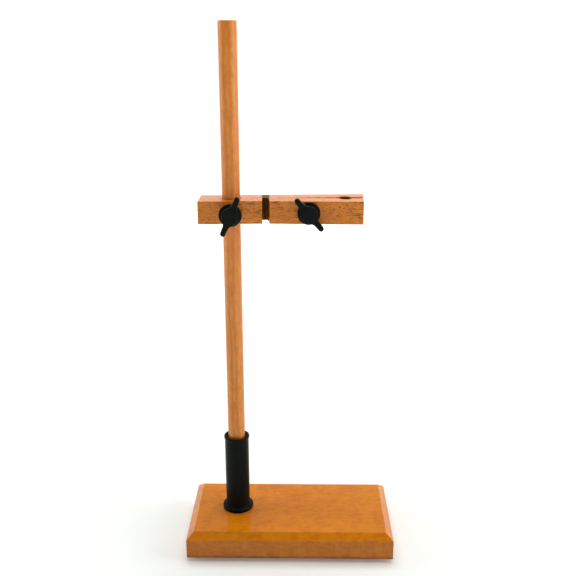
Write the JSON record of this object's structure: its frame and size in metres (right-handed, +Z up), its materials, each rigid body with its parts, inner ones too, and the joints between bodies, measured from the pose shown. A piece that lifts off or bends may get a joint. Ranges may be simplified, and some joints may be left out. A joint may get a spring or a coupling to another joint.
{
  "type": "retort stand",
  "caption": "Wooden laboratory stand: bevelled base board, dowel rod in a black flanged socket, and a sliding clamp arm with a wing-nut jaw and a wing screw.",
  "frame": {"origin": "on the floor, under the middle of the rectangular base board", "axes": "+Z up along the rod; +X to the right along the board's long side, the rod being near its left end; +Y to the back, the wing screws facing -Y"},
  "size_m": [0.22, 0.112, 0.551],
  "materials": {
    "varnished_wood": "glossy varnish",
    "beech": "satin varnish",
    "black_plastic": "moulded, slight sheen",
    "brass": "satin",
    "rubber": "matt"
  },
  "bodies": {
    "stand": {"base_board": "varnished_wood", "foot_front_left": "rubber", "foot_front_right": "rubber", "foot_rear_left": "rubber", "foot_rear_right": "rubber", "foot_screw_front_left": "brass", "foot_screw_front_right": "brass", "foot_screw_rear_left": "brass", "foot_screw_rear_right": "brass", "rod_socket": "black_plastic", "socket_bolt_washer": "brass", "socket_bolt": "brass", "socket_inner_washer": "brass", "socket_nut": "brass"},
    "rod": {"rod": "beech"},
    "arm": {"arm_beam": "beech", "clamp_insert": "brass", "jaw_bolt": "brass", "jaw_bolt_washer": "brass"},
    "clamp_pad": {"pressure_pad": "brass"},
    "clamp_screw": {"clamp_knob": "black_plastic", "clamp_stud": "brass"},
    "jaw": {"front_jaw": "beech"},
    "nut_washer": {"jaw_washer": "brass"},
    "wing_nut": {"jaw_knob": "black_plastic", "jaw_knob_insert": "brass"}
  },
  "joints": [
    {"name": "rod_turn", "type": "hinge", "parent": "stand", "child": "rod", "pos_m": [-0.0587, 0.0022, 0.12], "axis": [0, 0, 1], "continuous": true},
    {"name": "clamp_height", "type": "slide", "parent": "rod", "child": "arm", "axis": [0, 0, 1], "range_m": [-0.2375, 0.168]},
    {"name": "pad_feed", "type": "slide", "parent": "arm", "child": "clamp_pad", "axis": [0.0419, -0.9991, 0], "range_m": [0, 0.003]},
    {"name": "clamp_screw_turn", "type": "hinge", "parent": "clamp_pad", "child": "clamp_screw", "pos_m": [-0.05748, -0.02697, 0.3709], "axis": [0.0419, -0.9991, 0], "range_deg": [0, 1081]},
    {"name": "jaw_swing", "type": "hinge", "parent": "arm", "child": "jaw", "pos_m": [-0.02265, 0.00411, 0.3709], "axis": [0, 0, 1], "range_deg": [-1.5, 2.5]},
    {"name": "washer_feed", "type": "slide", "parent": "arm", "child": "nut_washer", "axis": [0.0419, -0.9991, 0], "range_m": [-0.00176, 0.00106]},
    {"name": "wing_nut_turn", "type": "hinge", "parent": "nut_washer", "child": "wing_nut", "pos_m": [0.01875, -0.01657, 0.3709], "axis": [0.0419, -0.9991, 0], "range_deg": [-634.5, 382.5]}
  ],
  "couplings": [
    {"joint": "clamp_screw_turn", "follows": "pad_feed", "rad_per_m": 6283.2},
    {"joint": "wing_nut_turn", "follows": "washer_feed", "rad_per_m": 6283.2},
    {"joint": "jaw_swing", "follows": "washer_feed", "rad_per_m": -24.691}
  ]
}
